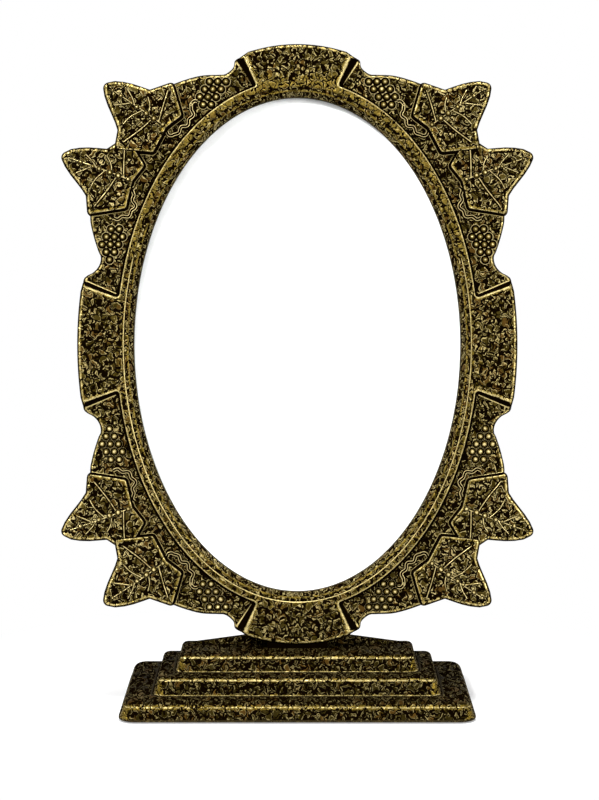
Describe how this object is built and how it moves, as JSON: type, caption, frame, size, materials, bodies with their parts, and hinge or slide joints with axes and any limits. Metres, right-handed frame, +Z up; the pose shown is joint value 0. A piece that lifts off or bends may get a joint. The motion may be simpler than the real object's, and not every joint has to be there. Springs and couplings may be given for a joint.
{
  "type": "metal photo frame",
  "caption": "Oval cast metal photo frame with a vine leaf and grape relief, leaning back on a stepped base, with its picture held from behind by turn buttons.",
  "frame": {"origin": "centre of the underside, on the plane that the felt pad rests on", "axes": "+X to the viewer's right, +Y to the back, +Z up"},
  "size_m": [0.1416, 0.0587, 0.1952],
  "materials": {
    "antique_brass": "antiqued brass, black in the recesses, with a fine hammered vein",
    "clear_glass": "clear polished glass",
    "white_card": "blank matt white card",
    "brown_hardboard": "smooth brown hardboard",
    "button_brass": "stamped brass, lightly aged",
    "screw_steel": "plated steel, lightly aged",
    "green_felt": "dark green wool felt"
  },
  "bodies": {
    "frame_body": {"base_casting": "antique_brass", "felt_pad": "green_felt", "rim_casting": "antique_brass", "glass_pane": "clear_glass", "photo_card": "white_card", "backing_board": "brown_hardboard", "turn_button_screw_1": "screw_steel", "turn_button_screw_2": "screw_steel", "turn_button_screw_3": "screw_steel", "turn_button_screw_4": "screw_steel", "turn_button_screw_5": "screw_steel", "turn_button_screw_6": "screw_steel", "rim_screw_left": "screw_steel", "rim_screw_right": "screw_steel", "rim_screw_washer_left": "screw_steel", "rim_screw_washer_right": "screw_steel"},
    "button_1": {"turn_button_1": "button_brass"},
    "button_2": {"turn_button_2": "button_brass"},
    "button_3": {"turn_button_3": "button_brass"},
    "button_4": {"turn_button_4": "button_brass"},
    "button_5": {"turn_button_5": "button_brass"},
    "button_6": {"turn_button_6": "button_brass"}
  },
  "joints": [
    {"name": "button_1_turn", "type": "hinge", "parent": "frame_body", "child": "button_1", "pos_m": [0.0554, 0.02084, 0.10475], "axis": [0, 0.9925, -0.1219], "continuous": true},
    {"name": "button_2_turn", "type": "hinge", "parent": "frame_body", "child": "button_2", "pos_m": [0.03178, 0.02888, 0.1702], "axis": [0, 0.9925, -0.1219], "continuous": true},
    {"name": "button_3_turn", "type": "hinge", "parent": "frame_body", "child": "button_3", "pos_m": [-0.03178, 0.02888, 0.1702], "axis": [0, 0.9925, -0.1219], "continuous": true},
    {"name": "button_4_turn", "type": "hinge", "parent": "frame_body", "child": "button_4", "pos_m": [-0.0554, 0.02084, 0.10475], "axis": [0, 0.9925, -0.1219], "continuous": true},
    {"name": "button_5_turn", "type": "hinge", "parent": "frame_body", "child": "button_5", "pos_m": [-0.03178, 0.0128, 0.0393], "axis": [0, 0.9925, -0.1219], "continuous": true},
    {"name": "button_6_turn", "type": "hinge", "parent": "frame_body", "child": "button_6", "pos_m": [0.03178, 0.0128, 0.0393], "axis": [0, 0.9925, -0.1219], "continuous": true}
  ]
}
